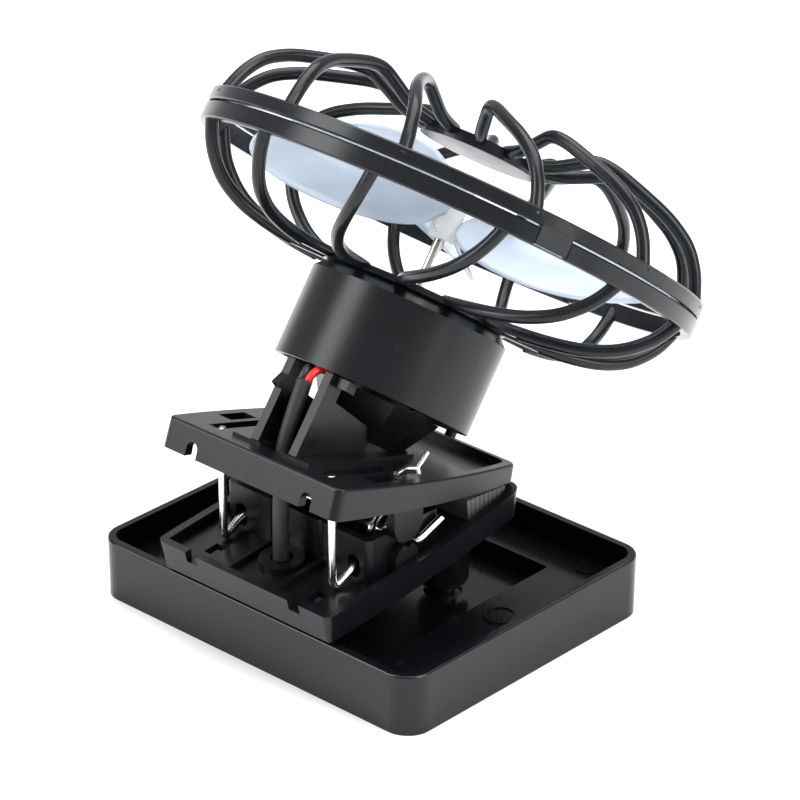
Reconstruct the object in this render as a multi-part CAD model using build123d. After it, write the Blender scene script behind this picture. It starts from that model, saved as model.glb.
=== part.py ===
"""Clip-on solar fan: a caged fan on a spring clip, hinged on two ball studs to a solar panel housing.

Frame: millimetres, +Z up, origin at the centre of the panel housing's bottom face. X runs along the
panel's long side, the clip's handles point to -Y and its gripping tips to +Y.
"""
from build123d import *
from math import cos, radians, sin
import os

# --- panel housing -----------------------------------------------------------------------------
PANEL_X = 80.0
PANEL_Y = 65.6
PANEL_H = 12.1
PANEL_WALL = 1.6
PANEL_CORNER = 5.0
SHELF_TOP = 6.8
POCKET_X = 48.0
POCKET_Y = 46.0
POCKET_FLOOR = 3.0
LAMINATE_X = 74.0
LAMINATE_Y = 60.0
LAMINATE_H = 1.6
CELL_COLS = 4
CELL_ROWS = 2

# --- ball studs that carry the clip -----------------------------------------------------------
STUD_X = 11.0
STUD_Y = 8.0
STUD_Z = 8.5
BALL_R = 3.5
NECK_R = 2.6
CUP_R = 4.85
CUP_BOTTOM = 5.0
RUNNING = 0.06

# --- clip jaws: each has its own frame at the middle of its front top edge -----------------------
LOWER_FRAME = Location((0, -34.4, 18.6), (5, 0, 0))
UPPER_FRAME = Location((0, -30.7, 43.0), (-17, 0, 0))
JAW_WALL = 1.6
LOWER_LEN = 55.0
LOWER_DEEP = 5.9
LOWER_FLOOR = 2.0
LOWER_PLATE = 1.4
UPPER_LEN = 54.3
UPPER_DEEP = 5.9
UPPER_TIP_DEEP = 3.4
UPPER_PLATE = 1.8

# --- clip pivot and springs -----------------------------------------------------------------------
PIVOT_Y = -11.3
PIVOT_Z = 24.4
PIN_R = 1.0
BLOCK_HALF = 18.0
BLOCK_FRONT = -19.8
BLOCK_BACK = -1.6
BLOCK_TOP = 26.8
WIRE_R = 0.8
ROD_X = 13.8
ROD_Y = -24.9
THIN_WIRE_R = 0.5

# --- fan head: local Z is the fan's axis, from the motor to the front guard --------------------
HEAD_TILT = 36.95
HEAD_FRAME = Location((0, 21.83, 72.5), (-HEAD_TILT, 0, 0))
RING_R = 49.4
RING_WALL = 2.0
FRONT_RING_H = 3.0
REAR_RING_H = 3.4
RIBS = 12
RIB_R = 1.25
RING_GAP = 0.35
CUP_OUTER_R = 19.36
CUP_WALL = 1.6
CUP_CHAMFER = 2.0
GUARD_PLATE_R = 18.2
SOCKET_TOP_R = 12.5
SOCKET_FOOT_R = 7.6
SOCKET_FACETS = 10
CUP_TOP = -17.0
CUP_RIM = -36.3
MOTOR_R = 12.2
MOTOR_TOP = -18.8
MOTOR_H = 12.4
SHAFT_R = 1.0
BLADES = 3
BLADE_TIP_R = 43.0

# --- lead ------------------------------------------------------------------------------------------
SLEEVE_R = 1.5
LEAD_WIRE_R = 0.75

os.makedirs("parts", exist_ok=True)
NODES = {}


def box(x0, x1, y0, y1, z0, z1):
    """An axis-aligned block between two corners."""
    solid = Box(x1 - x0, y1 - y0, z1 - z0)
    return Pos((x0 + x1) / 2, (y0 + y1) / 2, (z0 + z1) / 2) * solid


def rod(radius, start, end):
    """A straight cylinder between two points."""
    a = Vector(*start)
    b = Vector(*end)
    plane = Plane(origin=a, z_dir=b - a)
    return extrude(plane * Circle(radius), (b - a).length)


def tube_path(points, radii):
    """A path of straight runs joined by tangent arcs."""
    return FilletPolyline(*points, radius=radii)


def bent_rod(radius, points, bends):
    """Round wire along a path of straight runs and arcs."""
    path = tube_path(points, bends)
    return sweep(Plane(origin=path @ 0, z_dir=path % 0) * Circle(radius), path=path)


def yz_plate(outline, x0, x1):
    """A plate cut from a YZ outline, between two X planes."""
    face = make_face(Polyline(*[(0, y, z) for y, z in outline], close=True))
    return Pos(x0, 0, 0) * extrude(face, x1 - x0, dir=(1, 0, 0))


def mirrored(solid):
    """The solid together with its twin on the other side of the YZ plane."""
    return solid + mirror(solid, Plane.YZ)


def polar(radius, angle, height):
    """A point on the fan head, in its local frame."""
    return (radius * cos(radians(angle)), radius * sin(radians(angle)), height)


# --- panel ---------------------------------------------------------------------------------------

def ball_stud():
    """One ball stud with its flared foot, about the vertical axis through (0, 0)."""
    foot = Pos(0, 0, POCKET_FLOOR + 0.4) * Cone(3.7, NECK_R, 0.8)
    neck = Pos(0, 0, (POCKET_FLOOR + STUD_Z) / 2) * Cylinder(NECK_R, STUD_Z - POCKET_FLOOR)
    ball = Pos(0, 0, STUD_Z) * Sphere(BALL_R)
    flat = Pos(0, 0, STUD_Z + BALL_R) * Box(9, 9, 0.8)
    return foot + neck + ball - flat


def panel_housing():
    """Open tray with a raised shelf, a sunken pocket, a recess underneath and two ball studs."""
    outline = extrude(RectangleRounded(PANEL_X - 0.3, PANEL_Y - 0.3, PANEL_CORNER), PANEL_H, taper=-0.7)
    tray = outline
    room = RectangleRounded(PANEL_X - 2 * PANEL_WALL, PANEL_Y - 2 * PANEL_WALL, PANEL_CORNER - PANEL_WALL)
    tray -= Pos(0, 0, SHELF_TOP) * extrude(room, PANEL_H)
    tray = fillet(tray.faces().sort_by(Axis.Z)[-1].outer_wire().edges(), 0.4)
    tray -= Pos(0, 0, POCKET_FLOOR) * extrude(RectangleRounded(POCKET_X, POCKET_Y, 0.6), PANEL_H)
    tray -= extrude(RectangleRounded(LAMINATE_X + 0.3, LAMINATE_Y + 0.3, 1.5), LAMINATE_H)
    hollow = RectangleRounded(LAMINATE_X - 4, LAMINATE_Y - 4, 2.5)
    core = Rectangle(POCKET_X + 2.8, POCKET_Y + 2.8)
    tray -= Pos(0, 0, LAMINATE_H) * extrude(hollow - core, SHELF_TOP - 1.6 - LAMINATE_H)
    for x, y, r in ((29.6, 28.0, 2.7), (29.6, 3.0, 3.2), (29.9, -22.6, 2.7)):
        ring = Pos(x, y, SHELF_TOP) * extrude(Circle(r) - Circle(r - 0.5), 0.25)
        tray += mirrored(ring)
    tray += mirrored(Pos(STUD_X, STUD_Y, 0) * ball_stud())
    return tray - Pos(0, -17, LAMINATE_H) * Cylinder(SLEEVE_R + 0.2, 6)


def laminate():
    """Solar laminate: dark cells, the clear resin they are set in, and the board behind."""
    pitch_x = (LAMINATE_X - 4) / CELL_COLS
    pitch_y = (LAMINATE_Y - 4) / CELL_ROWS
    cell = Box(pitch_x - 0.8, pitch_y - 0.8, 0.2)
    cells = Part() + [place * cell for place in GridLocations(pitch_x, pitch_y, CELL_COLS, CELL_ROWS)]
    cells = Pos(0, 0, 0.4) * cells
    face = RectangleRounded(LAMINATE_X, LAMINATE_Y, 1.2)
    resin = extrude(face, 0.5) - cells
    board = Pos(0, 0, 0.5) * extrude(face, LAMINATE_H - 0.5)
    return cells, resin, board


def make_panel():
    """Nodes of the panel body."""
    NODES["panel_housing"] = panel_housing()
    cells, resin, board = laminate()
    NODES["solar_cells"] = cells
    NODES["clear_resin_face"] = resin
    NODES["laminate_board"] = board
    pad = box(-1.5, 1.5, -26.5, -24.8, LAMINATE_H, LAMINATE_H + 0.2)
    NODES["solder_pads"] = Pos(-8, 0, 0) * pad + Pos(8, 0, 0) * pad


# --- clip ------------------------------------------------------------------------------------------

def jaw_outline(front_half, middle, tip_half, length, front_r, rear_r):
    """Plan of a jaw: straight front and tip, sides bowed through the middle (half-width, distance)."""
    right = ThreePointArc((front_half, 0), middle, (tip_half, length))
    left = ThreePointArc((-tip_half, length), (-middle[0], middle[1]), (-front_half, 0))
    face = make_face([right, Line(right @ 1, left @ 0), left, Line(left @ 1, right @ 0)])
    corners = face.vertices().sort_by(Axis.Y)
    face = fillet(corners[:2], front_r)
    return fillet(face.vertices().sort_by(Axis.Y)[-2:], rear_r)


def lower_outline(inset):
    """Lower jaw's plan, inset all round."""
    return jaw_outline(21.8 - inset, (22.0 - inset, 18), 19.6 - inset, LOWER_LEN - inset, 1.6, 3.0)


def upper_outline(inset):
    """Upper jaw's plan, inset all round."""
    return jaw_outline(21.65 - inset, (22.1 - inset, 18), 17.6 - inset, UPPER_LEN - inset, 1.6, 2.6)


def slope_cut(front_deep, tip_deep, length):
    """Everything below a jaw skirt whose depth changes from the front to the tip."""
    slope = (front_deep - tip_deep) / length
    outline = [(-6, -front_deep - 6 * slope), (length + 6, -tip_deep + 6 * slope)]
    return yz_plate(outline + [(length + 6, -20), (-6, -20)], -40, 40)


def lower_shell():
    """Lower jaw's shallow tray, in its own frame."""
    shell = extrude(lower_outline(0), LOWER_DEEP, dir=(0, 0, -1), taper=8)
    behind_front = Pos(0, 30, -3) * Box(60, 60 - 2 * JAW_WALL, 10)
    shell -= extrude(lower_outline(JAW_WALL), LOWER_FLOOR, dir=(0, 0, -1)) & behind_front
    under = extrude(lower_outline(JAW_WALL + 1.0), 4, dir=(0, 0, -1), taper=6)
    shell -= Pos(0, 0, -LOWER_FLOOR - LOWER_PLATE) * under & behind_front
    for x in (-6, 6):
        shell += box(x - 0.5, x + 0.5, 1.2, 16, -LOWER_FLOOR - 0.2, -LOWER_FLOOR + 1.1)
    for x in (-13, 13):
        shell -= box(x - 1.4, x + 1.4, -2, 3, -2.1, 1)
        shell -= box(x - 1.3, x + 1.3, 4.6, 8.0, -6, 1)
    boss = Pos(0, 10.6, -LOWER_FLOOR) * Cylinder(4.3, 2.6)
    hole = Pos(0, 10.6, -3) * Cylinder(SLEEVE_R + 0.6, 14)
    return shell + boss - hole


def spring_block():
    """Hollow block that holds the springs, with ears outside it, in the row frame."""
    floor_z = 17.6
    block = box(-BLOCK_HALF, BLOCK_HALF, BLOCK_FRONT, BLOCK_BACK, floor_z, BLOCK_TOP)
    block = fillet(block.edges().filter_by(Axis.Z).sort_by(Axis.Y)[:2], 1.2)
    room = box(-BLOCK_HALF + 1.6, BLOCK_HALF - 1.6, BLOCK_FRONT + 1.6, BLOCK_BACK - 1.6, floor_z - 1, 40)
    block -= room
    for x in (-ROD_X - 0.5, ROD_X + 0.5):
        block -= Pos(x, BLOCK_FRONT, 20.8) * Rot(90, 0, 0) * extrude(SlotOverall(4.6, 2.9, 90), 4, both=True)
    for x in (-6, 6):
        block -= Pos(x, BLOCK_FRONT - 0.5, 22.6) * Cylinder(0.9, 9)
    block -= box(-30, 30, -9.9, -6.9, 21.9, 40)
    for side in (-1, 1):
        ear = Pos(side * 19.0, PIVOT_Y - 0.5, PIVOT_Z - 3.25) * Rot(0, 90, 0) * Cylinder(3.0, 2.0)
        foot = Pos(side * 19.0, PIVOT_Y - 0.5, 19.4) * Box(2.0, 6.0, 3.4)
        block += ear + foot
    return block - rod(PIN_R, (-30, PIVOT_Y, PIVOT_Z), (30, PIVOT_Y, PIVOT_Z))


def stud_cup():
    """Socket that hangs from the lower jaw over one ball stud, about the vertical axis through (0, 0)."""
    body = Pos(0, 0, (CUP_BOTTOM + 18.6) / 2) * Cylinder(CUP_R, 18.6 - CUP_BOTTOM)
    body = fillet(body.edges().sort_by(Axis.Z)[0], 1.5)
    seat = Pos(0, 0, STUD_Z) * Sphere(BALL_R + RUNNING)
    mouth = Pos(0, 0, STUD_Z - 3) * Cylinder(NECK_R + 0.25, 6)
    slot = box(-NECK_R - 0.25, NECK_R + 0.25, 0, 8, 0, STUD_Z + 0.4)
    return body - seat - mouth - slot


def make_lower_clip():
    """Nodes of the lower jaw's body."""
    jaw = LOWER_FRAME * lower_shell()
    jaw -= box(-BLOCK_HALF + 1.6, BLOCK_HALF - 1.6, BLOCK_FRONT + 1.6, BLOCK_BACK - 1.6, 18.9, 22)
    jaw += spring_block()
    jaw += mirrored(Pos(STUD_X, STUD_Y, 0) * stud_cup())
    NODES["lower_jaw"] = jaw
    pad = yz_plate([(42, -LOWER_FLOOR), (42, 2.3), (52.5, 0.6), (52.5, -LOWER_FLOOR)], -17.5, 17.5)
    NODES["lower_grip_pad"] = LOWER_FRAME * pad
    pin = rod(PIN_R, (-BLOCK_HALF, PIVOT_Y, PIVOT_Z), (BLOCK_HALF, PIVOT_Y, PIVOT_Z))
    NODES["pivot_pin"] = pin
    for side, name in ((-1, "left_spring"), (1, "right_spring")):
        spring = clip_spring()
        NODES[name] = spring if side > 0 else mirror(spring, Plane.YZ)


def clip_spring():
    """Steel wire of the right-hand spring: hook over the upper jaw, rod, floor bend, coil and tail."""
    def over_plate(s, z):
        point = UPPER_FRAME * Pos(ROD_X, s, z)
        return tuple(point.position)
    coil_x = 11.7
    mean_r = 2.8
    coil_start = (coil_x, PIVOT_Y, PIVOT_Z - mean_r)
    lead_in = [over_plate(6.1, -0.3)]
    lead_in += [(ROD_X, ROD_Y, 18.7), (ROD_X + 0.5, -19.6, 20.8),
                (coil_x, -13.2, PIVOT_Z - mean_r), coil_start]
    wire = bent_rod(WIRE_R, lead_in, (1.1, 3.0, 2.0))
    helix = Helix(1.8, 1.8 * 415 / 360, mean_r, center=(0, 0, 0), direction=(0, 0, 1))
    turn = sweep(Plane(origin=helix @ 0, z_dir=helix % 0) * Circle(WIRE_R), path=helix, is_frenet=True)
    placed = Location(Plane(origin=(coil_x, PIVOT_Y, PIVOT_Z), x_dir=(0, 0, -1), z_dir=(1, 0, 0))) * turn
    end_angle = radians(415 - 90)
    end_y = PIVOT_Y + mean_r * cos(end_angle)
    end_z = PIVOT_Z + mean_r * sin(end_angle)
    end_x = coil_x + 1.8 * 415 / 360
    tail = [(end_x, end_y, end_z), (end_x, -8.4, 23.6), (19.1, -8.2, 23.0), (19.1, -1.5, 25.4)]
    wire += placed
    wire += Pos(*tail[0]) * Sphere(WIRE_R)
    for start, end in zip(tail, tail[1:]):
        wire += rod(WIRE_R, start, end)
        wire += Pos(*end) * Sphere(WIRE_R) if end is not tail[-1] else Part()
    return wire


def upper_shell():
    """Upper jaw in its own frame: plate, skirt, sunken well near the tip, slots and notches."""
    shell = extrude(upper_outline(0), UPPER_DEEP + 1, dir=(0, 0, -1), taper=-2.5)
    shell = fillet(shell.faces().sort_by(Axis.Z)[-1].outer_wire().edges(), 0.5)
    inside = upper_outline(JAW_WALL)
    behind_front = Pos(0, 30, -3) * Box(60, 60 - 2 * JAW_WALL, 20)
    shell -= Pos(0, 0, -UPPER_PLATE) * extrude(inside, UPPER_DEEP, dir=(0, 0, -1)) & behind_front
    shell += Pos(0, 0, -2.9) * extrude(inside, 2.5) & Pos(0, 47, 0) * Box(60, 22, 20)
    shell -= Pos(0, 0, -1.7) * extrude(inside, 4) & Pos(0, 48, 0) * Box(60, 20.4, 20)
    shell -= slope_cut(UPPER_DEEP, UPPER_TIP_DEEP, UPPER_LEN)
    for x in (-14.3, 14.3):
        notch = Pos(x, 0, -4.3) * Rot(90, 0, 0) * Cylinder(1.35, 6)
        shell -= notch + box(x - 1.35, x + 1.35, -3, 3, -8, -4.3)
    for side in (-1, 1):
        window = Pos(side * 18.1, 14.8, 0) * Box(3.4, 7, 8)
        slot = Pos(side * ROD_X, 12.5, 0) * Box(2.9, 17, 8)
        shell -= window + slot
    return shell - box(-2.6, 2.6, 5.2, 12.5, -4, 4)


def jaw_lugs():
    """Outer lobes over the lower ears and inner lugs round the pivot pin, in the row frame."""
    under = 3.05
    lugs = Part()
    for side in (-1, 1):
        lobe = yz_plate([(-15.1, 28.4), (-15.1, 36.9), (-7.5, 34.6), (-7.5, 28.4)], -0.9, 0.9)
        lobe += Pos(0, PIVOT_Y, 28.4) * Rot(0, 90, 0) * Cylinder(3.8, 1.8)
        inner = yz_plate([(-14.3, PIVOT_Z), (-14.3, 36.3), (-8.3, 34.5), (-8.3, PIVOT_Z)], -0.9, 0.9)
        inner += Pos(0, PIVOT_Y, PIVOT_Z) * Rot(0, 90, 0) * Cylinder(under, 1.8)
        lugs += Pos(side * 19.1, 0, 0) * lobe
        lugs += Pos(side * 8.4, 0, 0) * inner
    return lugs - rod(PIN_R + RUNNING, (-12, PIVOT_Y, PIVOT_Z), (12, PIVOT_Y, PIVOT_Z))


def pedestal():
    """Two leaning walls that carry the fan head, with snap fingers, a round post and a low base."""
    base = UPPER_FRAME * (Pos(0, 19, 0.25) * Box(19, 29, 0.5))
    finger_top = [(-15.75, 54.85), (-12.6, 52.4)]
    outline = [(-25.6, 41.2), (-25.6, 42.0)] + finger_top + [(-15.2, 49.0), (-8.4, 42.5), (1.3, 34.4)]
    outline += [(1.3, 33.2)]
    walls = Part()
    for side in (-1, 1):
        walls += yz_plate(outline, side * 4.7 - 0.9, side * 4.7 + 0.9)
    tab = yz_plate([(-14.6, 53.95), (-12.6, 52.4), (-13.7, 50.9), (-15.7, 52.5)], 5.2, 8.6)
    barb = yz_plate([(-17.6, 52.4), (-20.2, 51.4), (-18.9, 49.2), (-17.2, 50.2)], -5.6, -3.8)
    post = HEAD_FRAME * (Pos(0, 2.5, -42) * Cylinder(7.2, 18))
    socket_h = 8.0
    rim = RegularPolygon(SOCKET_TOP_R, SOCKET_FACETS)
    foot = Pos(0, 0, -socket_h) * RegularPolygon(SOCKET_FOOT_R, SOCKET_FACETS)
    post += HEAD_FRAME * (Pos(0, 2.5, CUP_RIM - 0.5) * loft([foot, rim]))
    post -= HEAD_FRAME * (Pos(0, 0, CUP_RIM + 10) * Cylinder(30, 16))
    under_plate = UPPER_FRAME * (Pos(0, 20, -10) * Box(60, 80, 20))
    cord_way = UPPER_FRAME * box(-2.6, 2.6, 4.0, 12.5, -4, 9)
    return base + (walls + tab + barb + post - under_plate) - cord_way


def retaining_wire():
    """Short formed wire on the upper plate: an upright through the plate and an arm that lies on it."""
    upright = bent_rod(THIN_WIRE_R, [(18.3, 25.9, -1.4), (16.8, 25.9, 0.7), (16.8, 27.9, 3.7)], (0.8,))
    arm = bent_rod(THIN_WIRE_R, [(17.9, 18.9, 0.55), (15.9, 23.5, 0.6), (16.8, 25.9, 0.7)], (1.5,))
    return UPPER_FRAME * (upright + arm)


def make_upper_clip():
    """Nodes of the upper jaw and what is fixed on it."""
    NODES["upper_jaw"] = UPPER_FRAME * upper_shell() + jaw_lugs()
    pad = extrude(upper_outline(JAW_WALL + 0.5), 0.6, dir=(0, 0, -1)) & Pos(0, 45.5, 0) * Box(60, 10, 20)
    NODES["upper_grip_pad"] = UPPER_FRAME * (Pos(0, 0, -2.9) * pad)
    NODES["pedestal"] = pedestal()
    screws = Part()
    for x in (-6.5, 6.5):
        screws += Pos(x, 29, -UPPER_PLATE - 0.6) * Cylinder(2.0, 1.2)
        screws += Pos(x, 29, -UPPER_PLATE / 2) * Cylinder(0.95, UPPER_PLATE + 1.0)
    NODES["pedestal_screws"] = UPPER_FRAME * screws
    NODES["retaining_wire"] = retaining_wire()
    NODES["upper_jaw"] -= NODES["pedestal_screws"] + NODES["retaining_wire"]
    NODES["pedestal"] -= NODES["pedestal_screws"]


# --- fan head ------------------------------------------------------------------------------------

def soft_radii(points):
    """Bend radius at each corner of a route, as large as its two runs allow."""
    ends = [Vector(*p) for p in points]
    radii = []
    for a, b, c in zip(ends, ends[1:], ends[2:]):
        turn = (b - a).get_angle(c - b)
        run = min((b - a).length, (c - b).length)
        radii.append(0.45 * run / (sin(radians(turn / 2)) / cos(radians(turn / 2))))
    return radii


def ribs(profile, first_angle, swirl, inner_r):
    """Ribs of a guard: a (radius, height) profile that swirls as it runs from the rim to inner_r."""
    rim_r = profile[0][0]
    route = []
    for r, h in profile:
        turn = swirl * min(1, (rim_r - r) / (rim_r - inner_r))
        route.append(polar(r, first_angle + turn, h))
    rib = bent_rod(RIB_R, route, soft_radii(route))
    return [Rot(0, 0, k * 360 / RIBS) * rib for k in range(RIBS)]


FRONT_PROFILE = [(48.4, 1.4), (46.4, 7), (43.6, 11), (39, 14), (33, 16.2), (28, 17.8), (24.3, 18.2), (20.5, 16.4),
                 (16, 14.2), (10.5, 13.4)]
REAR_PROFILE = [(48.2, -1.6), (45.8, -7), (41.5, -11.6), (36, -14.3), (30, -15.6), (24, -16.2), (16.0, -16.4)]
SHOULDER_R = 24.3
NEAR_SIDE = -52.6
FRONT_FIRST = NEAR_SIDE + 16.4
REAR_FIRST = NEAR_SIDE + 12.0
TONGUES = [NEAR_SIDE + 22 + k * 120 for k in range(3)]


def front_guard():
    """Front cage: rim ring, ribs that swirl inward to a small disc, and three snap tongues."""
    band = Circle(RING_R) - Circle(RING_R - RING_WALL)
    ring = Pos(0, 0, RING_GAP) * extrude(band, FRONT_RING_H - RING_GAP)
    ring = chamfer(ring.edges().filter_by(GeomType.CIRCLE).sort_by(SortBy.LENGTH)[-2:], 0.3)
    disc = Pos(0, 0, 12.7) * Cylinder(11.6, 2.2)
    tongues = [Rot(0, 0, a) * box(RING_R - 1.9, RING_R - 0.1, -3.2, 3.2, -3.0, 0.7) for a in TONGUES]
    return ring + [disc] + tongues + ribs(FRONT_PROFILE, FRONT_FIRST, -20, SHOULDER_R)


def rear_guard():
    """Rear cage: lower rim ring with gaps for the tongues, ribs, and a plate on the motor housing."""
    ring = Pos(0, 0, -REAR_RING_H) * extrude(Circle(RING_R) - Circle(RING_R - RING_WALL), REAR_RING_H)
    ring = chamfer(ring.edges().filter_by(GeomType.CIRCLE).sort_by(SortBy.LENGTH)[-2:], 0.3)
    ring -= [Rot(0, 0, a) * box(RING_R - 3, RING_R + 1, -3.4, 3.4, -3.2, 1) for a in TONGUES]
    plate = Pos(0, 0, CUP_TOP) * extrude(Circle(GUARD_PLATE_R) - Circle(4.2), 1.2)
    guard = ring + [plate] + ribs(REAR_PROFILE, REAR_FIRST, -22, 20)
    return guard - Pos(0, 0, CUP_TOP - 10) * Cylinder(25, 20)


def motor_housing():
    """Cup open at the bottom, with a top wall, a hole for the motor's boss and four inner ribs."""
    cup = Pos(0, 0, CUP_RIM) * extrude(Circle(CUP_OUTER_R), CUP_TOP - CUP_RIM)
    cup = chamfer(cup.edges().sort_by(Axis.Z)[-1], CUP_CHAMFER)
    room = Pos(0, 0, CUP_RIM) * extrude(Circle(CUP_OUTER_R - CUP_WALL), MOTOR_TOP - CUP_RIM)
    cup -= room
    cup -= Pos(0, 0, CUP_TOP) * Cylinder(3.2, 6)
    for k in range(4):
        rib = box(MOTOR_R, CUP_OUTER_R - 0.5, -0.7, 0.7, -31, MOTOR_TOP)
        cup += Rot(0, 0, 45 + 90 * k) * rib
    foot = Pos(*polar(18.2, 62, CUP_RIM - 0.5)) * Cylinder(1.1, 1.4)
    return cup + foot


def motor_parts():
    """Motor that drives the fan: can, end cap, terminals, bushes and magnets, about the fan's axis."""
    low = MOTOR_TOP - MOTOR_H
    can = Pos(0, 0, low) * extrude(Circle(MOTOR_R), MOTOR_H)
    can -= Pos(0, 0, low) * extrude(Circle(MOTOR_R - 0.6), MOTOR_H - 0.6)
    can += Pos(0, 0, MOTOR_TOP) * extrude(Circle(3.0), 1.6)
    can -= Pos(0, 0, MOTOR_TOP) * Cylinder(2.2, 6)
    NODES["motor_can"] = can
    NODES["front_bush"] = Pos(0, 0, MOTOR_TOP - 0.2) * extrude(Circle(2.2) - Circle(SHAFT_R + 0.03), 1.6)
    cap = Pos(0, 0, low) * extrude(Circle(MOTOR_R - 0.6) - Circle(2.2), 1.2)
    NODES["motor_end_cap"] = cap
    NODES["rear_bush"] = Pos(0, 0, low) * extrude(Circle(2.2) - Circle(SHAFT_R + 0.03), 1.6)
    lug = box(-1.1, 1.1, -7.3, -6.9, low - 2.0, low)
    NODES["motor_terminals"] = Pos(-4, 0, 0) * lug + Pos(4, 0, 0) * lug
    arc = Circle(MOTOR_R - 0.6) - Circle(9.4)
    arc -= Rectangle(50, 9)
    NODES["motor_magnets"] = Pos(0, 0, low + 2.2) * extrude(arc, 8.4)
    shaft = Pos(0, 0, low + 0.2) * extrude(Circle(SHAFT_R), 4.6 - low - 0.2)
    NODES["motor_shaft"] = shaft
    slots = [Rot(0, 0, 60 + 120 * k) * box(3.4, 9.5, -0.5, 0.5, low + 2.8, low + 10.2) for k in range(3)]
    core = Pos(0, 0, low + 3.2) * extrude(Circle(9.0) - Circle(SHAFT_R), 6.6)
    NODES["armature"] = core - slots
    NODES["commutator"] = Pos(0, 0, low + 1.7) * extrude(Circle(2.0) - Circle(SHAFT_R), 1.4)


def fan_blade():
    """One wide blade as a loft of thin, pitched sections from the root to the tip."""
    sections = []
    for r, chord, pitch, lift in ((2.4, 9, 40, -1.5), (14, 25, 31, -0.2), (27, 42, 23, 0.4), (38, 47, 18, 0.6),
                                  (46, 40, 15, 0.6)):
        plane = Plane(origin=(r, 0, lift), x_dir=(0, 1, 0), z_dir=(1, 0, 0))
        shape = make_face([ThreePointArc((-chord / 2, 0), (0, 0.06 * chord), (chord / 2, 0)),
                           Line((chord / 2, 0), (chord / 2, 0.9)),
                           ThreePointArc((chord / 2, 0.9), (0, 0.9 + 0.06 * chord), (-chord / 2, 0.9)),
                           Line((-chord / 2, 0.9), (-chord / 2, 0))])
        sections.append(plane * (Rot(0, 0, pitch) * shape))
    blade = loft(sections)
    plan = RectangleRounded(BLADE_TIP_R - 2, 42, 9)
    trim = Pos(BLADE_TIP_R / 2 + 1, 0, -30) * extrude(plan + Pos(-14, 0) * Rectangle(15, 24), 60)
    rim = Cylinder(BLADE_TIP_R, 60) - Cylinder(2.4, 60)
    return blade & trim & rim


def make_fan_head():
    """Nodes of the fan head and of the rotor, placed in the row frame."""
    before = set(NODES)
    NODES["front_guard"] = front_guard()
    NODES["rear_guard"] = rear_guard()
    NODES["motor_housing"] = motor_housing()
    motor_parts()
    hub = Pos(0, 0, -5.2) * extrude(Circle(2.6), 10.4)
    NODES["fan_hub"] = hub - NODES["motor_shaft"]
    blade = fan_blade()
    blades = Part() + [Rot(0, 0, 20 + 120 * k) * blade for k in range(BLADES)]
    NODES["fan_blades"] = blades - Cylinder(2.6, 60)
    for name in set(NODES) - before:
        NODES[name] = HEAD_FRAME * NODES[name]


# --- lead --------------------------------------------------------------------------------------------

LEAD_LOW = [(0, -17, LAMINATE_H), (0, -17, 7.5), (0, -24.0, 12.3), (0, -24.0, 26), (0, -22.9, 39.6)]
LEAD_TOP = [(0, -22.9, 39.6), (0, -22.6, 42.4), (0, -17.2, 52.6)]


def head_point(x, y, z):
    """A point given in the fan head's frame, in the row frame."""
    return tuple((HEAD_FRAME * Pos(x, y, z)).position)


def make_lead():
    """Sleeved lead from the panel to the fan head, and the two motor wires that leave it."""
    NODES["lead_sleeve"] = bent_rod(SLEEVE_R, LEAD_LOW, soft_radii(LEAD_LOW))
    NODES["lead_sleeve_top"] = bent_rod(SLEEVE_R, LEAD_TOP, soft_radii(LEAD_TOP)) - NODES["lead_sleeve"]
    end = Vector(*LEAD_TOP[-1])
    for side, name in ((1, "red_wire"), (-1, "black_wire")):
        inside = [head_point(side * 1.6, -14.6, -36.4), head_point(side * 3.6, -10.4, -34.4),
                  head_point(side * 4, -8.1, -32.3)]
        route = [(side * 0.75, end.Y + 0.01, end.Z), (side * 0.9, end.Y + 1.0, end.Z + 1.2)] + inside
        NODES[name] = bent_rod(LEAD_WIRE_R, route, soft_radii(route)) - NODES["lead_sleeve_top"]


make_panel()
make_lower_clip()
make_upper_clip()
make_fan_head()
make_lead()
for node, solid in NODES.items():
    export_step(solid, f"parts/{node}.step")
print(len(NODES), "nodes")
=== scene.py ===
# %% [markdown]
# # A clip-on solar fan
# The frame comes from the CAD model: every moulded part, the cage, the motor and the joints.
# This lesson adds what CAD leaves plain: thin translucent blades, drawn steel springs, a sleeved
# lead in two stretches, and a finish for every material.
# Lengths are in metres. X runs along the panel, -Y is the handle side, +Z is up.

# %% Load the frame
import math

import bpy
import numpy as np
from mathutils import Matrix


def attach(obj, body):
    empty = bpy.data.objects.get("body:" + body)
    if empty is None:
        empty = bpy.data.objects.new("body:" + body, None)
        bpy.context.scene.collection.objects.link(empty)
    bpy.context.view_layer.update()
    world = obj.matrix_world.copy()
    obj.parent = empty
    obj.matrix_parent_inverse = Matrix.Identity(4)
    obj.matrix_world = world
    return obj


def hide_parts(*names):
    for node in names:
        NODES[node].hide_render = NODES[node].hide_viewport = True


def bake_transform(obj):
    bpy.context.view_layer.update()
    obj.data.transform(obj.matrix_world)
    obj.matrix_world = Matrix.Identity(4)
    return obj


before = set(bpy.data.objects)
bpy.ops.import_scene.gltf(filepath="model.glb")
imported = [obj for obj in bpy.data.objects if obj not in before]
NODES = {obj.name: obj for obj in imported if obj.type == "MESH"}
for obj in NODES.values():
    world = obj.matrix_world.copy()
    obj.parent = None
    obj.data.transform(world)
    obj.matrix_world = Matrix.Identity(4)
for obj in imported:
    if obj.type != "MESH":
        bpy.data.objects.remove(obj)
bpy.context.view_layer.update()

MM = 0.001

# %% [markdown]
# ## Camera
# A long lens far away keeps the panel's edges nearly parallel. The camera is placed by an azimuth and
# an elevation around a target, then slid a little across its own view, so the numbers say in plain
# words where a person would stand.

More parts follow.
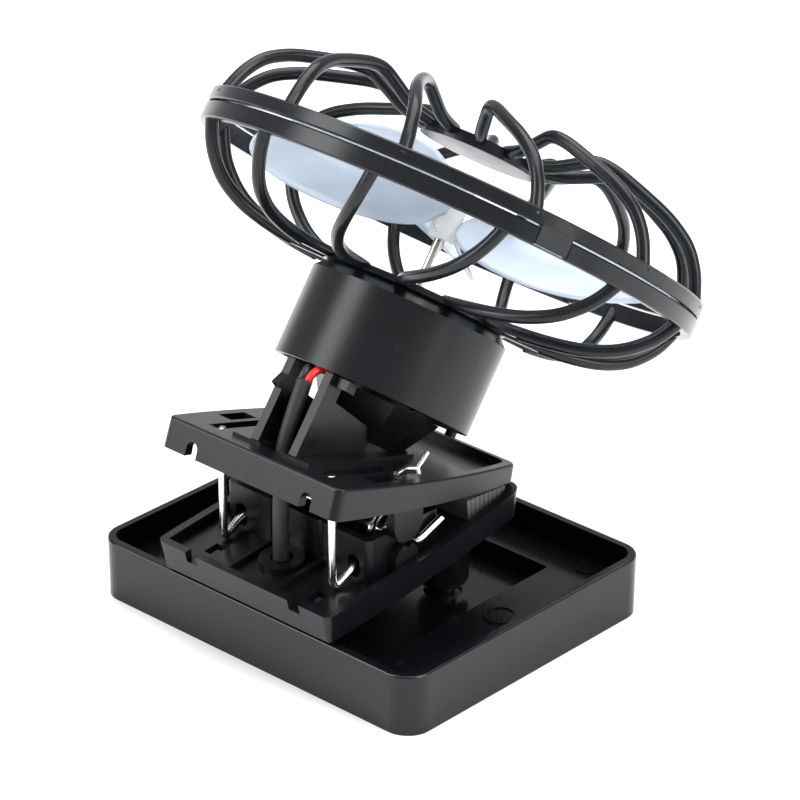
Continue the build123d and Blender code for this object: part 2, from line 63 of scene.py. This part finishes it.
# %% Place the camera
AZIMUTH = math.radians(42.686)
ELEVATION = math.radians(26.55)
ROLL = math.radians(0.128)
DISTANCE = 0.69995
FOCAL_IN_FRAMES = 4.7715
TARGET = np.array([0.0, 0.0, 0.045])
SLIDE = np.array([0.00536, -0.0026])


def stand(thing, right, up, back, where):
    """Turn and place an object by its three axes and its position, and link it."""
    columns = np.column_stack([right, up, back, where])
    thing.matrix_world = Matrix(np.vstack([columns, [0, 0, 0, 1]]).tolist())
    bpy.context.scene.collection.objects.link(thing)
    return thing


def camera_axes(azimuth, elevation, roll):
    """Right, up and backward axes of a camera that looks at its target from azimuth and elevation."""
    ca, sa = math.cos(azimuth), math.sin(azimuth)
    ce, se = math.cos(elevation), math.sin(elevation)
    back = np.array([sa * ce, -ca * ce, se])
    right = np.array([ca, sa, 0.0])
    up = np.cross(back, right)
    turned = math.cos(roll) * right + math.sin(roll) * up
    return turned, np.cross(back, turned), back


def place_camera():
    """A camera at the target, moved back by the distance and slid along its right and up axes."""
    right, up, back = camera_axes(AZIMUTH, ELEVATION, ROLL)
    where = TARGET + SLIDE[0] * right + SLIDE[1] * up + DISTANCE * back
    data = bpy.data.cameras.new("camera")
    data.sensor_width = 36.0
    data.lens = FOCAL_IN_FRAMES * data.sensor_width
    data.clip_start = 0.01
    camera = stand(bpy.data.objects.new("camera", data), right, up, back, where)
    bpy.context.scene.camera = camera
    return camera


camera = place_camera()
print("camera stands at", [round(v, 3) for v in camera.matrix_world.translation])

# %% [markdown]
# ## Floor and light
# Black plastic has almost no colour of its own: what the eye reads is the light that it mirrors.
# So the room is a pale floor under a soft sky, with two tall soft boxes for the long highlights on
# the motor housing and one wide box behind that lifts the edges.

# %% Build the floor and the lights
FLOOR_HALF = 3.0


def soft_box(name, azimuth, elevation, away, size, power, target=(0, 0, 0.05)):
    """A rectangular area light that faces the target from an azimuth and an elevation."""
    right, up, back = camera_axes(math.radians(azimuth), math.radians(elevation), 0)
    data = bpy.data.lights.new(name, "AREA")
    data.shape = "RECTANGLE"
    data.size, data.size_y = size
    data.energy = power
    return stand(bpy.data.objects.new(name, data), right, up, back, np.array(target) + away * back)


def flat_floor():
    """A square sheet just under the panel."""
    h = FLOOR_HALF
    mesh = bpy.data.meshes.new("floor")
    mesh.from_pydata([(-h, -h, 0), (h, -h, 0), (h, h, 0), (-h, h, 0)], [], [(0, 1, 2, 3)])
    floor = bpy.data.objects.new("floor", mesh)
    bpy.context.scene.collection.objects.link(floor)
    return floor


floor = flat_floor()
# name, azimuth, elevation, distance, (width, height), watts
SOFT_BOXES = [("left_box", -35, 30, 0.9, (0.35, 0.9), 7.0), ("right_box", 100, 35, 0.9, (0.45, 0.9), 8.0),
              ("top_box", 200, 70, 1.1, (1.1, 1.1), 16.0)]
ROOM_COLOUR = (0.93, 0.96, 1.0, 1)
ROOM_STRENGTH = 0.62
for row in SOFT_BOXES:
    soft_box(*row)
world = bpy.data.worlds.new("pale_room")
bpy.context.scene.world = world
world.use_nodes = True
world.node_tree.nodes["Background"].inputs["Color"].default_value = ROOM_COLOUR
world.node_tree.nodes["Background"].inputs["Strength"].default_value = ROOM_STRENGTH
bpy.context.scene.view_settings.view_transform = "Standard"
print("three soft boxes and a pale room")

# %% [markdown]
# ## Shader maths
# A finish is easier to read as a formula than as a web of nodes. `Signal` wraps one socket, so that
# `0.3 + 0.1 * grain` adds the Math nodes by itself. `Finish` holds one material: `add` makes any
# other node from its type, its settings and the values or links of its sockets.

# %% Define the shader helpers
class Signal:
    """One number that varies over a surface; arithmetic on it adds Math nodes."""

    def __init__(self, finish, socket):
        self.finish = finish
        self.socket = socket

    def _math(self, operation, first, second):
        node = self.finish.add("ShaderNodeMath", {"operation": operation}, {0: first, 1: second})
        return Signal(self.finish, node.outputs[0])

    def __add__(self, other):
        return self._math("ADD", self, other)

    def __radd__(self, other):
        return self._math("ADD", other, self)

    def __sub__(self, other):
        return self._math("SUBTRACT", self, other)

    def __rsub__(self, other):
        return self._math("SUBTRACT", other, self)

    def __mul__(self, other):
        return self._math("MULTIPLY", self, other)

    def __rmul__(self, other):
        return self._math("MULTIPLY", other, self)

    def __gt__(self, other):
        return self._math("GREATER_THAN", self, other)

    def fold(self, period):
        """Distance to the nearest multiple of a period: the base of stripes and grids."""
        return self._math("PINGPONG", self, period / 2)


class Finish:
    """One material: a Principled shader, with formulas for what varies over the surface."""

    def __init__(self, name, colour, roughness, **constants):
        self.material = bpy.data.materials.new(name)
        self.material.use_nodes = True
        self.tree = self.material.node_tree
        self.shader = self.tree.nodes["Principled BSDF"]
        self.shader.inputs["Base Color"].default_value = (*colour, 1)
        self.shader.inputs["Roughness"].default_value = roughness
        for socket, value in constants.items():
            self.shader.inputs[socket.replace("_", " ")].default_value = value
        where = self.add("ShaderNodeTexCoord")
        self.place = where.outputs["Object"]

    def add(self, kind, settings=None, sockets=None):
        """A node of any kind: its settings first, then the values or links of its sockets."""
        node = self.tree.nodes.new(kind)
        for key, value in (settings or {}).items():
            setattr(node, key, value)
        for key, value in (sockets or {}).items():
            self.feed(node.inputs[key], value)
        return node

    def feed(self, socket, value):
        """Link a signal or a socket, or set a plain value."""
        if isinstance(value, Signal):
            self.tree.links.new(value.socket, socket)
        elif isinstance(value, bpy.types.NodeSocket):
            self.tree.links.new(value, socket)
        else:
            socket.default_value = value

    def axis(self, name):
        """The X, Y or Z of Object coordinates, in metres."""
        split = self.add("ShaderNodeSeparateXYZ", {}, {0: self.place})
        return Signal(self, split.outputs[name])

    def grain(self, size, detail=3.0, stretch=(1, 1, 1)):
        """Cloudy noise from 0 to 1, with lumps about as large as size."""
        fitted = self.add("ShaderNodeMapping", {}, {"Vector": self.place, "Scale": stretch})
        noise = self.add("ShaderNodeTexNoise", {}, {"Vector": fitted.outputs[0], "Scale": 1 / size,
                                                    "Detail": detail})
        return Signal(self, noise.outputs["Fac"])

    def blend(self, mask, low, high):
        """Colour from low to high as the mask goes from 0 to 1."""
        mix = self.add("ShaderNodeMix", {"data_type": "RGBA"}, {"Factor": mask})
        ends = [s for s in mix.inputs if s.type == "RGBA"]
        for end, colour in zip(ends, (low, high)):
            end.default_value = (*colour, 1)
        return [s for s in mix.outputs if s.type == "RGBA"][0]

    def vary(self, colour=None, roughness=None, height=None, relief=0.0, alpha=None):
        """Feed formulas to the shader; height is a relief in units of the relief distance."""
        if colour is not None:
            self.feed(self.shader.inputs["Base Color"], colour)
        if roughness is not None:
            self.feed(self.shader.inputs["Roughness"], roughness)
        if alpha is not None:
            self.feed(self.shader.inputs["Alpha"], alpha)
        if height is not None:
            bump = self.add("ShaderNodeBump", {}, {"Height": height, "Distance": relief, "Strength": 1.0})
            self.feed(self.shader.inputs["Normal"], bump.outputs[0])
        return self.material


print("shader helpers ready")

# %% [markdown]
# ## Moulded black plastics
# Two blacks are on this object. The clip, cage and motor housing are satin ABS: a fine orange-peel
# skin, slightly uneven gloss and a few rub marks. The panel housing is glossier, and its floor keeps
# faint swirls from the polished mould. Both get their look from roughness and tiny relief, because
# black shows texture only through its highlights.

# %% Mix the plastics
def satin_black():
    """Satin ABS: fine peel, gloss that wanders by a tenth, and thin pale rub marks."""
    f = Finish("satin_black_abs", (0.004, 0.0042, 0.005), 0.34, Specular_IOR_Level=0.30)
    cloud = f.grain(9 * MM)
    peel = f.grain(0.35 * MM, 2.0)
    rubs = f.grain(2.5 * MM, 6.0, (1, 0.16, 1))
    mask = (rubs > 0.68) * 0.5
    return f.vary(colour=f.blend(mask + 0.25 * cloud, (0.0030, 0.0033, 0.0042), (0.013, 0.014, 0.017)),
                  roughness=0.24 + 0.10 * cloud + 0.10 * mask, height=peel, relief=0.006 * MM)


def cage_black():
    """The cage's plastic: a little glossier, with a cloudy wander in tone and gloss and a fine peel."""
    f = Finish("cage_black_abs", (0.003, 0.0032, 0.004), 0.30, Specular_IOR_Level=0.30)
    cloud = f.grain(6 * MM)
    peel = f.grain(0.5 * MM, 2.0)
    return f.vary(colour=f.blend(cloud, (0.0024, 0.0027, 0.0034), (0.008, 0.009, 0.011)),
                  roughness=0.18 + 0.12 * cloud, height=peel, relief=0.008 * MM)


def gloss_black():
    """Glossy tray: a near-mirror skin with faint curved polishing swirls and sparse dust."""
    f = Finish("gloss_black_abs", (0.003, 0.0032, 0.004), 0.14, Specular_IOR_Level=0.34)
    bend = f.grain(14 * MM, 1.0)
    swirl = (f.axis("X") + f.axis("Y") * 0.6 + 0.012 * bend).fold(1.3 * MM) * (1 / (0.65 * MM))
    dust = f.grain(0.9 * MM, 4.0) > 0.74
    return f.vary(colour=f.blend(dust * 0.5, (0.0028, 0.0031, 0.0040), (0.022, 0.024, 0.028)),
                  roughness=0.12 + 0.08 * bend + 0.05 * swirl, height=swirl + 0.8 * bend,
                  relief=0.006 * MM)


def clear_blue():
    """Blade plastic: pale blue, milky, thinner looking where the flow left it clear."""
    f = Finish("pale_blue_blade", (0.70, 0.80, 0.92), 0.22, Transmission_Weight=0.35, IOR=1.49)
    cloud = f.grain(13 * MM, 2.0)
    return f.vary(colour=f.blend(cloud, (0.60, 0.72, 0.88), (0.86, 0.92, 0.98)),
                  roughness=0.12 + 0.16 * cloud, height=f.grain(4 * MM), relief=0.02 * MM,
                  alpha=0.72 + 0.2 * cloud)


def milky_white():
    """Hub plastic: cloudy white with soft internal mottling."""
    f = Finish("milky_hub", (0.86, 0.88, 0.88), 0.3, Transmission_Weight=0.3, IOR=1.49)
    cloud = f.grain(1.5 * MM)
    return f.vary(colour=f.blend(cloud, (0.72, 0.75, 0.76), (0.93, 0.94, 0.93)),
                  roughness=0.2 + 0.2 * cloud, height=cloud, relief=0.03 * MM)


print("plastics mixed")

# %% [markdown]
# ## Metals, rubber, insulation and the panel's face
# Drawn wire shows fine scratches along its length, pressed motor steel a brushed skin, and ferrite
# a dry grain. The lead's sleeve is dull with a slight weave. The cells are dark blue with thin
# silver fingers and two bus bars, seen through clear resin.

# %% Mix the rest
def bright_wire():
    """Drawn steel: nearly a mirror, with fine streaks between a darker and a brighter tone."""
    f = Finish("drawn_steel", (0.78, 0.76, 0.72), 0.16, Metallic=1.0)
    streak = f.grain(0.3 * MM, 3.0, (1, 1, 0.1))
    return f.vary(colour=f.blend(streak, (0.55, 0.53, 0.50), (0.86, 0.84, 0.80)),
                  roughness=0.10 + 0.18 * streak, height=streak, relief=0.01 * MM)


def brushed_metal(name, dark, bright, rough):
    """Brushed metal between two tones, streaked along Z."""
    f = Finish(name, bright, rough, Metallic=1.0)
    streak = f.grain(0.4 * MM, 4.0, (1, 1, 0.08))
    return f.vary(colour=f.blend(streak, dark, bright), roughness=rough + 0.15 * streak,
                  height=streak, relief=0.01 * MM)


def dry_grain(name, dark, bright, rough, size=0.4 * MM, relief=0.02 * MM, stretch=(1, 1, 1)):
    """A dull material of small grains between two tones."""
    f = Finish(name, bright, rough)
    grain = f.grain(size, 4.0, stretch)
    return f.vary(colour=f.blend(grain, dark, bright), roughness=rough - 0.08 + 0.16 * grain,
                  height=grain, relief=relief)


def ribbed_rubber():
    """Grip pads: soft ribs across the jaw, 1.2 mm apart, with painted shade in the grooves and a painted
    highlight on the crests.
    """
    f = Finish("grip_rubber", (0.10, 0.105, 0.11), 0.6)
    ribs = f.axis("Y").fold(1.2 * MM) * (1 / (0.6 * MM))
    # Painted shade and highlight: the colour follows the ribs' relief, darker in each groove and lighter on
    # each crest.
    return f.vary(colour=f.blend(ribs, (0.055, 0.058, 0.062), (0.13, 0.135, 0.14)),
                  roughness=0.5 + 0.15 * f.grain(1.0 * MM), height=ribs, relief=0.15 * MM)


def silicon():
    """Solar cells: dark blue with silver fingers every 1.8 mm and bus bars every 8.7 mm."""
    f = Finish("silicon_cells", (0.012, 0.02, 0.07), 0.25)
    fingers = 1 - (f.axis("Y").fold(1.8 * MM) > 0.1 * MM)
    bars = 1 - (f.axis("X").fold(8.75 * MM) > 0.35 * MM)
    lines = fingers + bars - fingers * bars
    shade = f.grain(5 * MM)
    tone = f.blend(lines * 0.8 + 0.12 * shade, (0.010, 0.018, 0.065), (0.45, 0.48, 0.52))
    return f.vary(colour=tone, roughness=0.2 + 0.15 * shade, height=lines, relief=0.02 * MM)


def clear_resin():
    """Cast resin over the cells: clear, very slightly wavy."""
    f = Finish("clear_resin", (0.93, 0.96, 1.0), 0.05, Transmission_Weight=0.9, IOR=1.5)
    wave = f.grain(12 * MM, 1.0)
    return f.vary(roughness=0.03 + 0.05 * wave, height=wave, relief=0.02 * MM, alpha=0.25 + 0.1 * wave)


FINISHES = {
    "satin": satin_black(), "cage": cage_black(), "gloss": gloss_black(), "blade": clear_blue(),
    "hub": milky_white(), "wire": bright_wire(), "rubber": ribbed_rubber(), "cells": silicon(),
    "resin": clear_resin(),
    "motor": brushed_metal("pressed_steel", (0.35, 0.35, 0.36), (0.6, 0.6, 0.6), 0.3),
    "brass": brushed_metal("plated_brass", (0.5, 0.36, 0.14), (0.85, 0.66, 0.33), 0.25),
    "ferrite": dry_grain("ferrite", (0.05, 0.05, 0.055), (0.13, 0.13, 0.14), 0.7),
    "core": dry_grain("core_laminations", (0.16, 0.15, 0.15), (0.32, 0.31, 0.30), 0.5),
    "cap": dry_grain("white_nylon", (0.70, 0.70, 0.66), (0.86, 0.86, 0.83), 0.45),
    "board": dry_grain("glass_board", (0.03, 0.13, 0.07), (0.07, 0.22, 0.12), 0.4),
    "sleeve": dry_grain("lead_sleeve", (0.006, 0.005, 0.005), (0.024, 0.019, 0.019), 0.55, 0.3 * MM),
    "red": dry_grain("red_insulation", (0.55, 0.012, 0.012), (0.80, 0.03, 0.025), 0.32, 0.8 * MM),
    "black": dry_grain("black_insulation", (0.008, 0.008, 0.009), (0.03, 0.03, 0.032), 0.35, 0.8 * MM),
    "floor": dry_grain("pale_floor", (0.90, 0.90, 0.90), (0.94, 0.94, 0.94), 0.75, 30 * MM, 0.0),
}
print(len(FINISHES), "finishes")

# %% Paint the frame
PAINTED = {
    "gloss": ["panel_housing"],
    "satin": ["lower_jaw", "upper_jaw", "pedestal", "motor_housing"],
    "cage": ["front_guard", "rear_guard"],
    "hub": ["fan_hub"],
    "blade": ["fan_blades"],
    "wire": ["pivot_pin", "motor_shaft", "pedestal_screws", "retaining_wire", "left_spring", "right_spring"],
    "rubber": ["lower_grip_pad", "upper_grip_pad"],
    "cells": ["solar_cells"],
    "resin": ["clear_resin_face"],
    "board": ["laminate_board"],
    "motor": ["motor_can"],
    "brass": ["solder_pads", "front_bush", "rear_bush", "motor_terminals", "commutator"],
    "cap": ["motor_end_cap"],
    "ferrite": ["motor_magnets"],
    "core": ["armature"],
    "sleeve": ["lead_sleeve", "lead_sleeve_top"],
    "red": ["red_wire"],
    "black": ["black_wire"],
}


def paint(piece, finish):
    """Give a whole piece one finish."""
    if not piece.material_slots:
        piece.data.materials.append(FINISHES[finish])
    for place in piece.material_slots:
        place.material = FINISHES[finish]


for finish, names in PAINTED.items():
    for name in names:
        paint(NODES[name], finish)
paint(floor, "floor")
print("every node painted:", sum(len(n) for n in PAINTED.values()) == len(NODES))

# %% [markdown]
# ## Tubes from a smooth line
# Springs, sleeve and wires are one shape: a circle carried along a line. The line is a cubic
# B-spline through given points, so its bends are soft. A circle is set across the line at each
# step, and the two ends are closed with a small fan of triangles.

# %% Define the tube surface
def surface(name, verts, faces):
    """A smooth-shaded mesh object from points and faces that already face outwards."""
    mesh = bpy.data.meshes.new(name)
    mesh.from_pydata(np.asarray(verts).tolist(), [], faces)
    mesh.update()
    mesh.shade_smooth()
    piece = bpy.data.objects.new(name, mesh)
    bpy.context.scene.collection.objects.link(piece)
    return piece


def smooth_line(points, steps):
    """Cubic B-spline whose control points are given: each piece weighs four neighbours."""
    p = np.asarray(points, float)
    p = np.vstack([2 * p[0] - p[1], p, 2 * p[-1] - p[-2]])
    spans = len(p) - 3
    t = np.linspace(0, spans, steps * spans + 1)
    i = np.minimum(t.astype(int), spans - 1)
    u = (t - i)[:, None]
    weights = [(1 - u) ** 3, 3 * u ** 3 - 6 * u ** 2 + 4, -3 * u ** 3 + 3 * u ** 2 + 3 * u + 1, u ** 3]
    return sum(w * p[i + k] for k, w in enumerate(weights)) / 6


def unit(v):
    """Each row scaled to length one."""
    return v / np.linalg.norm(v, axis=1, keepdims=True)


def tube(name, line, radius, sides, across):
    """Circle of a radius carried along a line; across is a direction the line never points along."""
    along = unit(np.gradient(line, axis=0))
    side = unit(np.cross(along, np.asarray(across, float)))
    over = np.cross(along, side)
    a = np.linspace(0, 2 * np.pi, sides, endpoint=False)
    ring = np.cos(a)[None, :, None] * side[:, None, :] + np.sin(a)[None, :, None] * over[:, None, :]
    grid = line[:, None, :] + radius * ring
    n = len(line)
    start = n * sides
    verts = np.vstack([grid.reshape(-1, 3), line[:1], line[-1:]])
    j = np.arange(sides)
    k = (j + 1) % sides
    i = np.arange(n - 1)[:, None] * sides
    quads = np.stack([i + j, i + k, i + k + sides, i + j + sides], axis=-1).reshape(-1, 4)
    first = np.stack([k, j, np.full(sides, start)], axis=-1)
    last = np.stack([j, k, np.full(sides, start + 1)], axis=-1)
    last[:, :2] += (n - 1) * sides
    return surface(name, verts, quads.tolist() + first.tolist() + last.tolist())


def finish_piece(piece, finish, slot, body, *replaced):
    """Paint a new piece, attach it to its body if one is given, and hide the CAD nodes it stands for; slot
    is not used.
    """
    paint(piece, finish)
    if body:
        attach(piece, body)
    if replaced:
        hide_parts(*replaced)
    return piece


print("tube surface ready")

# %% [markdown]
# ## Clip springs
# Each spring is one drawn wire: a straight leg from a slot in the upper jaw down to the lower floor,
# round a tight bend, through an oval hole, wound about the pivot, and out beside the block as a
# straight tail. The coil is a helix, so it is worked out, while the rest goes through set points.

# %% Wind the springs
WIRE_R = 0.8 * MM
PIVOT = np.array([0.0, -11.3, 24.4]) * MM
COIL_R = 2.8 * MM
COIL_PITCH = 1.8 * MM
COIL_TURN = math.radians(415)
COIL_X = 11.7 * MM
LEG = [(13.8, -24.95, 40.9), (13.8, -24.93, 39.6), (13.8, -24.9, 37.5), (13.8, -24.9, 34.0),
       (13.8, -24.9, 26.0), (13.8, -24.9, 21.0), (13.8, -25.0, 19.2), (13.9, -24.3, 18.2),
       (14.1, -23.0, 18.9), (14.3, -19.6, 20.7), (13.0, -16.0, 21.3), (11.8, -13.2, 21.5)]
TAIL = [(15.6, -8.7, 23.2), (16.2, -8.3, 23.5), (17.6, -8.2, 23.2), (18.8, -8.1, 23.0),
        (19.1, -7.2, 23.2), (19.1, -5.0, 24.1), (19.1, -3.0, 24.8), (19.1, -1.6, 25.3)]


def spring_line():
    """Leg, then a helix about the pivot, then the tail, as one run of points."""
    angle = np.linspace(0, COIL_TURN, 60)
    coil = np.column_stack([COIL_X + COIL_PITCH * angle / (2 * np.pi),
                            PIVOT[1] + COIL_R * np.sin(angle),
                            PIVOT[2] - COIL_R * np.cos(angle)])
    points = np.vstack([np.array(LEG) * MM, coil[::5], np.array(TAIL) * MM])
    return smooth_line(points, 6)


def make_spring(name, side, node):
    """One spring; the left one is the right one's mirror image."""
    line = spring_line() * np.array([side, 1, 1])
    spring = tube(name, line, WIRE_R, 16, (0.31, 0.17, 0.05))
    finish_piece(spring, "wire", "steel", None, node)
    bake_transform(spring)
    return spring


springs = [make_spring("right_clip_spring", 1, "right_spring"),
           make_spring("left_clip_spring", -1, "left_spring")]
print("springs:", [len(s.data.polygons) for s in springs], "faces")

# %% [markdown]
# ## Fan blades
# The blades are one thin moulding of milky blue plastic. The outline is wide near the tip and narrow
# at the hub, and each blade is pitched most at its root. A thin solid made here, not in CAD, gives
# the pale edge that a real blade shows: light runs along the sheet and leaves at its rim.

# %% Shape the blades
HEAD = np.array([0.0, 21.83, 72.5]) * MM
TILT = math.radians(36.95)
HEAD_AXES = np.array([[1, 0, 0], [0, math.cos(TILT), -math.sin(TILT)], [0, math.sin(TILT), math.cos(TILT)]])
BLADE_ROOT = 2.7 * MM
BLADE_TIP = 42.6 * MM
BLADE_THICK = 0.9 * MM
BLADE_GRID = (60, 48)
BLADE_TURN = [math.radians(20 + 120 * k) for k in range(3)]


def blade_sheet(along, across):
    """Middle sheet of one blade: radius grows with along, and across runs over the chord from -1 to 1.
    Half-chord is 21 t^0.55 (1 - t^6)^0.5 + 1.5 mm; pitch falls from 38 to 17 degrees; the chord
    is cambered by 6 percent."""
    t = along
    radius = BLADE_ROOT + (BLADE_TIP - BLADE_ROOT) * t
    half = (21 * t ** 0.55 * np.sqrt(1 - t ** 6) + 1.5) * MM
    pitch = np.radians(38 - 21 * t)
    chord = across * half
    camber = 0.12 * half * (1 - across ** 2)
    swept = chord * np.cos(pitch) - camber * np.sin(pitch)
    lift = chord * np.sin(pitch) + camber * np.cos(pitch) + (-1.5 + 1.9 * t) * MM
    angle = np.arctan2(swept, radius)
    reach = np.minimum(np.hypot(swept, radius), BLADE_TIP)
    return np.stack([reach * np.cos(angle), reach * np.sin(angle), lift], axis=-1)


def blades_mesh():
    """Three blades: each is its middle sheet moved up and down by half the thickness and sewn shut."""
    n, m = BLADE_GRID
    t, s = np.meshgrid(np.linspace(0, 1, n), np.linspace(-1, 1, m), indexing="ij")
    middle = blade_sheet(t, s)
    up = np.array([0, 0, BLADE_THICK / 2])
    verts, faces = [], []
    idx = np.arange(n * m).reshape(n, m)
    a, b, c, d = idx[:-1, :-1], idx[1:, :-1], idx[1:, 1:], idx[:-1, 1:]
    top = np.stack([a, b, c, d], axis=-1).reshape(-1, 4)
    border = np.concatenate([idx[:, 0], idx[-1, 1:], idx[::-1, -1][1:], idx[0, ::-1][1:-1]])
    after = np.roll(border, -1)
    lower = n * m
    sides = np.stack([after, border, border + lower, after + lower], axis=-1)
    one = np.vstack([top, top[:, ::-1] + lower, sides])
    for k, turn in enumerate(BLADE_TURN):
        spin = np.array([[math.cos(turn), -math.sin(turn), 0],
                         [math.sin(turn), math.cos(turn), 0], [0, 0, 1]])
        both = np.vstack([(middle + up).reshape(-1, 3), (middle - up).reshape(-1, 3)]) @ spin.T
        verts.append(both @ HEAD_AXES)
        faces.append(one + k * 2 * lower)
    return np.vstack(verts) + HEAD, np.vstack(faces).tolist()


blades = surface("translucent_blades", *blades_mesh())
finish_piece(blades, "blade", "blade", "rotor", "fan_blades")
print("blades:", len(blades.data.polygons), "faces")

# %% [markdown]
# ## Lead
# A sleeved lead climbs from the panel through a ring in the lower jaw to the motor. The real lead is
# held at both housings; here it is drawn as two stretches: one from the panel to the lower jaw, and
# one from there to the upper jaw. At the motor the sleeve ends and a red and a black wire go on.

# %% Run the lead
SLEEVE_R = 1.5 * MM
MOTOR_WIRE_R = 0.75 * MM
LOW_ROUTE = [(0, -17, 1.6), (0, -17, 5.0), (0, -17.6, 8.6), (0, -20.5, 10.6),
             (0, -23.4, 12.6), (0, -24, 15.5), (0, -24, 18.4)]
HIGH_ROUTE = [(0, -24, 18.4), (0, -24, 22), (0, -24.0, 27), (0, -23.6, 33),
              (0, -23.2, 38), (0, -22.8, 41.5), (0, -21.0, 45.4), (0, -19.0, 49.2),
              (0, -17.2, 52.6)]


def make_lead():
    """The two stretches of sleeve, from the panel to the lower jaw and from there to the upper jaw."""
    low = tube("lead_lower", smooth_line(np.array(LOW_ROUTE) * MM, 8), SLEEVE_R, 24, (1, 0, 0))
    high = tube("lead_upper", smooth_line(np.array(HIGH_ROUTE) * MM, 8), SLEEVE_R, 24, (1, 0, 0))
    finish_piece(low, "sleeve", "sleeve", None, "lead_sleeve")
    finish_piece(high, "sleeve", "sleeve", None, "lead_sleeve_top")
    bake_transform(low)
    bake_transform(high)
    return low, high


def make_motor_wire(name, side, finish, slot, node):
    """One insulated wire from the sleeve's end into the motor housing."""
    route = [(side * 0.75, -17.6, 51.9), (side * 0.8, -16.6, 53.5), (side * 1.2, -14.4, 54.2),
             (side * 2.2, -11.3, 53.4), (side * 3.6, -8.0, 50.8), (side * 4.0, -5.1, 51.0)]
    wire = tube(name, smooth_line(np.array(route) * MM, 8), MOTOR_WIRE_R, 16, (1, 0, 0.2))
    return finish_piece(wire, finish, slot, "upper_clip", node)


lead = make_lead()
make_motor_wire("motor_wire_red", 1, "red", "red_wire", "red_wire")
make_motor_wire("motor_wire_black", -1, "black", "black_wire", "black_wire")
print("lead and motor wires placed")

# %% End of the lesson
print("lesson ends")
